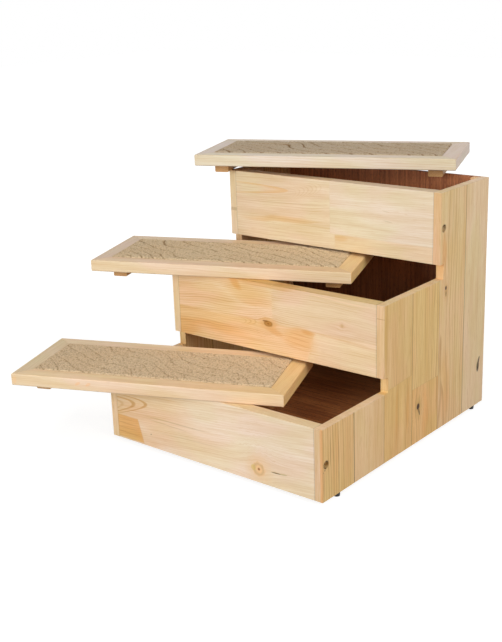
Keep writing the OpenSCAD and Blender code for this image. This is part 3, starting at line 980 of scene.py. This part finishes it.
# Depth of the valleys on the bottom, middle and top tread, half their width, and the shares of the depth that
# whole loops and single places take
VALLEY_DEPTHS = (0.6, 1.05, 1.8)
VALLEY_WIDTH = 1.05
VALLEY_OF_LOOP = 0.4
VALLEY_OF_PLACE = 0.75
# A valley fades in places: its usual and least share, how much that varies and over what length
USUAL_SHARE = 0.95
LEAST_SHARE = 0.55
SHARE_SWING = 0.9
SHARE_LENGTH = 34.0
SHARE_SHIFT = Vector((7.0, 3.0, 0.0))
# How far the pile sinks at the carpet's edge, and how far in from it
EDGE_SINK = 1.1
EDGE_REACH = 1.3


def rib_valley(x, y, seed):
    """How near a place lies to the valley between two ribs, from 0 to 1."""
    at = Vector((x, y, RIB_SEEDS_APART * seed))
    bend = sum(far * noise.noise(at / length) for far, length in RIB_WANDERS)
    rib = (x * math.cos(RIB_LEAN) + y * math.sin(RIB_LEAN) + bend) / RIB_PITCH
    from_valley = abs(rib - round(rib)) * RIB_PITCH
    share = USUAL_SHARE + SHARE_SWING * noise.noise(at / SHARE_LENGTH + SHARE_SHIFT)
    return min(1.0, max(LEAST_SHARE, share)) * math.exp(-(from_valley / VALLEY_WIDTH) ** 2)


def pile_height(x, y, seed):
    """How far the pile stands above or below its middle height at a place on the carpet."""
    at = Vector((x / LOOP.x, y / LOOP.y, LOOP_SEEDS_APART * seed))
    distances, centres = noise.voronoi(at)
    loop_valley = rib_valley(centres[0].x * LOOP.x, centres[0].y * LOOP.y, seed)
    sunk = VALLEY_OF_LOOP * loop_valley + VALLEY_OF_PLACE * rib_valley(x, y, seed)
    dome = DOME * (DOME_ABOVE - min(distances[0], DOME_EDGE) ** DOME_FALL)
    uneven = UNEVEN * noise.noise(at / 2.0)
    return dome + uneven - VALLEY_DEPTHS[seed] * sunk


def make_carpet(level, seed):
    """The carpet in a tread's frame, of the same outline and thickness as the solid that it stands for."""
    origin, turn = TREADS[level]
    low, high = local_box(level + "_tread_carpet", TREADS[level])
    half_x, half_y = (high.x - low.x) / 2, (high.y - low.y) / 2
    bpy.ops.object.select_all(action="DESELECT")
    bpy.ops.mesh.primitive_grid_add(x_subdivisions=round(2 * half_x / PILE_STEP),
                                    y_subdivisions=round(2 * half_y / PILE_STEP), size=2 * MM)
    carpet = bpy.context.object
    carpet.name = carpet.data.name = level + "_carpet_pile"
    carpet.scale = (half_x, half_y, 1)
    bpy.ops.object.transform_apply(location=False, rotation=False, scale=True)
    bpy.ops.object.mode_set(mode="EDIT")
    bpy.ops.mesh.select_all(action="SELECT")
    bpy.ops.mesh.region_to_loop()
    bpy.ops.mesh.extrude_edges_move(TRANSFORM_OT_translate={"value": (0, 0, (low.z - high.z) * MM)})
    bpy.ops.mesh.edge_face_add()
    bpy.ops.mesh.select_all(action="SELECT")
    bpy.ops.mesh.normals_make_consistent(inside=False)
    bpy.ops.object.mode_set(mode="OBJECT")
    relief = carpet.data.attributes.new("relief", "FLOAT", "POINT")
    for v in carpet.data.vertices:
        if v.co.z > -0.5 * MM:
            x, y = v.co.x / MM, v.co.y / MM
            height = pile_height(x, y, seed)
            rim = min(half_x - abs(x), half_y - abs(y))
            relief.data[v.index].value = height
            v.co.z += (PILE_RAISED + height - EDGE_SINK * math.exp(-(rim / EDGE_REACH) ** 2)) * MM
    bpy.ops.object.shade_smooth_by_angle(angle=math.radians(60))
    carpet.location = origin + Vector((0, 0, high.z * MM))
    carpet.rotation_euler.z = turn
    bpy.ops.object.transform_apply(location=True, rotation=True, scale=True)
    carpet.data.materials.append(carpet_yarn(level))
    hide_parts(level + "_tread_carpet")
    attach(carpet, level + "_tread")


# The top tread's yarn is coloured darker and greyer than the others: painted shade, for its pile seen along
# at a low angle.
YARN_TONES_AND_SHADE = dict(bottom=srgb(224, 199, 165), middle=srgb(222, 199, 165), top=srgb(200, 182, 158))
YARN_SHADE = srgb(144, 112, 72)
LOOP_WAVES = (0.35, 0.35, 0.35)
YARN_FIBRE_WAVES = (2.0, 2.0, 2.0)
PATCH_WAVES = (0.02, 0.02, 0.02)


def carpet_yarn(level):
    """Beige yarn, speckled loop by loop, with painted shade darkening it down between the loops."""
    t, connect = new_material(level + "_carpet_yarn")
    place = board_vector(t, TREADS[level], FLAT)
    raised = t.smooth(t.add("ShaderNodeAttribute", out=2, attribute_name="relief"), -1.5, 0.6)
    loops = t.noise(place, LOOP_WAVES, 2.0, 0.7)
    fibres = t.noise(place, YARN_FIBRE_WAVES, 2.0, 0.7)
    patches = t.noise(place, PATCH_WAVES, 1.0)
    # Painted shade: the yarn darkens where the pile sinks between loops.
    colour = t.mix(raised, YARN_SHADE, YARN_TONES_AND_SHADE[level])
    colour = t.shade(colour, t.span(loops, 0.3, 0.7, 0.93, 1.05))
    colour = t.shade(colour, t.span(fibres, 0.25, 0.75, 0.82, 1.13))
    colour = t.toned(colour, t.smooth(patches, 0.35, 0.65), (1.0, 1.0, 1.0), (1.0, 0.975, 0.95))
    return connect(Base_Color=colour, Roughness=0.95, Normal=t.bump(fibres, 0.7, 0.0004),
                   Specular_IOR_Level=0.1, Sheen_Weight=0.1, Sheen_Roughness=0.5)


# Stage and light

FLOOR_SIZE = 12
FLOOR_BELOW = 0.0002
FLOOR_GREY = 0.36
# The floor's share of plain white, near the object and far from it, and where it goes from one to the other
FLOOR_WHITE = (0.84, 1.0)
FLOOR_WHITENS = (0.5, 1.3)
WORLD_LIGHT = 0.2
LAMPS = {
    "key": dict(at=(-0.65, -3.0, 0.75), towards=(0, 0, 0.2), size=1.6, power=55, colour=(0.965, 1.0, 1.01)),
    "top": dict(at=(0.3, -0.5, 2.8), towards=(0, 0, 0.2), size=1.6, power=20, colour=(1.0, 0.95, 0.86)),
    "side": dict(at=(2.36, -0.5, 1.2), towards=(0, 0, 0.2), size=1.0, power=25, colour=(0.97, 0.955, 0.89)),
    "fill": dict(at=(1.85, -1.8, 1.2), towards=(0, 0, 0.1), size=0.9, power=10, colour=(1.0, 0.97, 0.92)),
}


def looked_at(t):
    """1 where the camera, a reflection or glass looks at the surface, and 0 for all other light."""
    path = t.add("ShaderNodeLightPath").node
    return t.math("MAXIMUM", path.outputs["Is Camera Ray"],
                  t.math("MAXIMUM", path.outputs["Is Glossy Ray"], path.outputs["Is Transmission Ray"]))


def make_floor():
    bpy.ops.object.select_all(action="DESELECT")
    bpy.ops.mesh.primitive_plane_add(size=FLOOR_SIZE, location=(0, 0, -FLOOR_BELOW))
    floor = bpy.context.object
    floor.name = "floor"
    material = bpy.data.materials.new("pale_floor")
    material.use_nodes = True
    material.node_tree.nodes.clear()
    t = Tree(material.node_tree)
    plain = t.add("ShaderNodeBsdfDiffuse", {"Color": grey(FLOOR_GREY)})
    white = t.smooth(t.vector("LENGTH", object_vector(t)), *FLOOR_WHITENS, *FLOOR_WHITE)
    glow = t.add("ShaderNodeEmission", {"Color": grey(1.0), "Strength": white})
    whitened = t.add("ShaderNodeAddShader", {0: plain, 1: glow})
    seen = t.add("ShaderNodeMixShader", {0: looked_at(t), 1: plain, 2: whitened})
    t.add("ShaderNodeOutputMaterial", {0: seen})
    floor.data.materials.append(material)


def area_light(name, at, towards, size, power, colour):
    data = bpy.data.lights.new(name, "AREA")
    data.size = size
    data.energy = power
    data.color = colour
    lamp = bpy.data.objects.new(name, data)
    lamp.location = at
    lamp.rotation_euler = (Vector(towards) - Vector(at)).to_track_quat("-Z", "Y").to_euler()
    bpy.context.scene.collection.objects.link(lamp)


def make_light():
    world = bpy.data.worlds.new("studio")
    bpy.context.scene.world = world
    world.use_nodes = True
    world.node_tree.nodes.clear()
    t = Tree(world.node_tree)
    strength = t.span(looked_at(t), 0.0, 1.0, WORLD_LIGHT, 1.0)
    t.add("ShaderNodeOutputWorld", {0: t.add("ShaderNodeBackground", {0: grey(1.0), 1: strength})})
    for name, lamp in LAMPS.items():
        area_light(name, **lamp)


bpy.context.scene.view_settings.view_transform = "Standard"
make_camera()
dress_box()
for seed, level in enumerate(LEVELS):
    dress_tread(level, seed)
    make_carpet(level, seed)
make_floor()
make_light()
